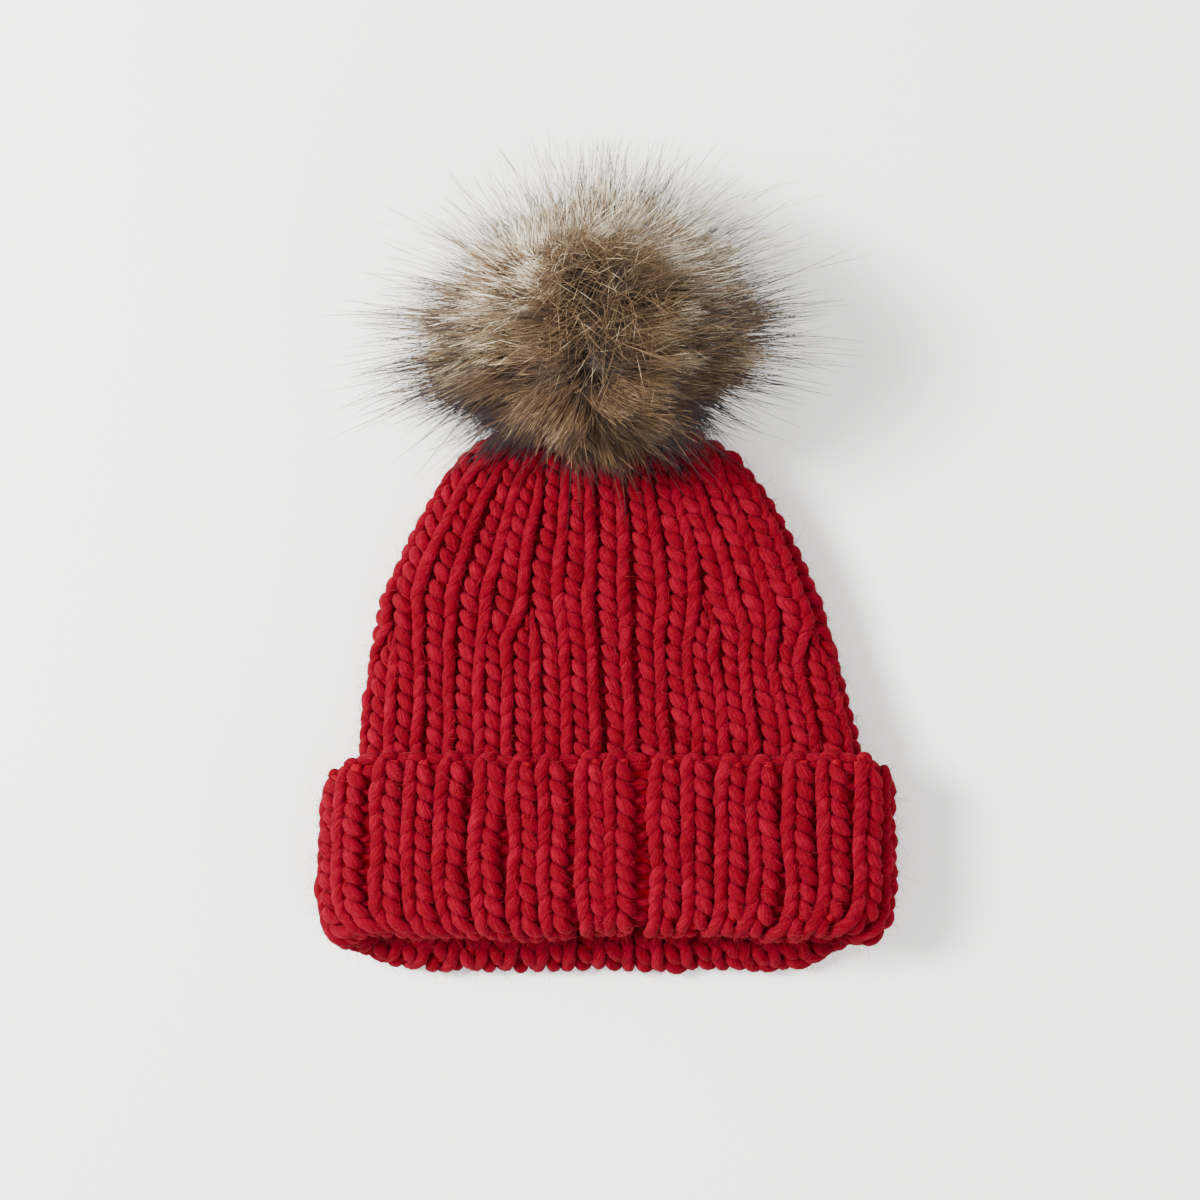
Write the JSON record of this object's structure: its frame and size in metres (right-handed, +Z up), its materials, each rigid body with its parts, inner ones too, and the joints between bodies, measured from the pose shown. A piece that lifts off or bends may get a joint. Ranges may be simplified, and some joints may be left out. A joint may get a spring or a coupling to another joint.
{
  "type": "pom pom beanie",
  "caption": "Chunky rib-knit beanie lying flat, with a turned-up cuff and a fluffy fur pom on a snap at the gathered crown.",
  "frame": {"origin": "bottom centre of the whole object's box, on the surface the hat lies on", "axes": "+Y from the brim to the pom, +Z up from the surface, +X to the right seen from above with the pom away from the viewer"},
  "size_m": [0.232, 0.3179, 0.1231],
  "materials": {
    "red_wool": "matte",
    "brown_fur": "matte",
    "fur_backing": "matte",
    "polyester_fill": "matte",
    "thread": "matte",
    "label_satin": "satin",
    "button_plastic": "gloss",
    "disc_plastic": "matte",
    "snap_metal": "satin"
  },
  "bodies": {
    "hat": {"knit_body": "red_wool", "gather_yarn": "red_wool", "backing_button": "button_plastic", "anchor_thread": "thread", "care_label": "label_satin", "label_stitches": "thread"},
    "cuff": {"turn_up_cuff": "red_wool"},
    "shank": {"shank_knot": "thread"},
    "stud": {"thread_shank": "thread", "snap_stud": "snap_metal"},
    "spring": {"socket_spring": "snap_metal"},
    "pom": {"snap_socket": "snap_metal", "socket_rivet": "snap_metal", "pom_base_disc": "disc_plastic", "base_stitches": "thread", "pom_drawstring": "thread", "pom_backing": "fur_backing", "pom_stuffing": "polyester_fill", "pom_fur": "brown_fur"}
  },
  "joints": [
    {"name": "cuff_turn_down", "type": "slide", "parent": "hat", "child": "cuff", "axis": [0, -1, 0], "range_m": [0, 0.035]},
    {"name": "pom_lean", "type": "hinge", "parent": "hat", "child": "shank", "pos_m": [-0.0035, 0.06105, 0.02073], "axis": [1, 0, 0], "range_deg": [0, 30]},
    {"name": "pom_sway", "type": "hinge", "parent": "shank", "child": "stud", "pos_m": [-0.0035, 0.06105, 0.02073], "axis": [0, 0, 1], "range_deg": [-20, 20]},
    {"name": "pom_pull", "type": "slide", "parent": "stud", "child": "spring", "axis": [0, 0.6198, 0.7848], "range_m": [0, 0.03]},
    {"name": "pom_spin", "type": "hinge", "parent": "spring", "child": "pom", "pos_m": [-0.0035, 0.06105, 0.02073], "axis": [0, 0.6198, 0.7848], "continuous": true}
  ]
}
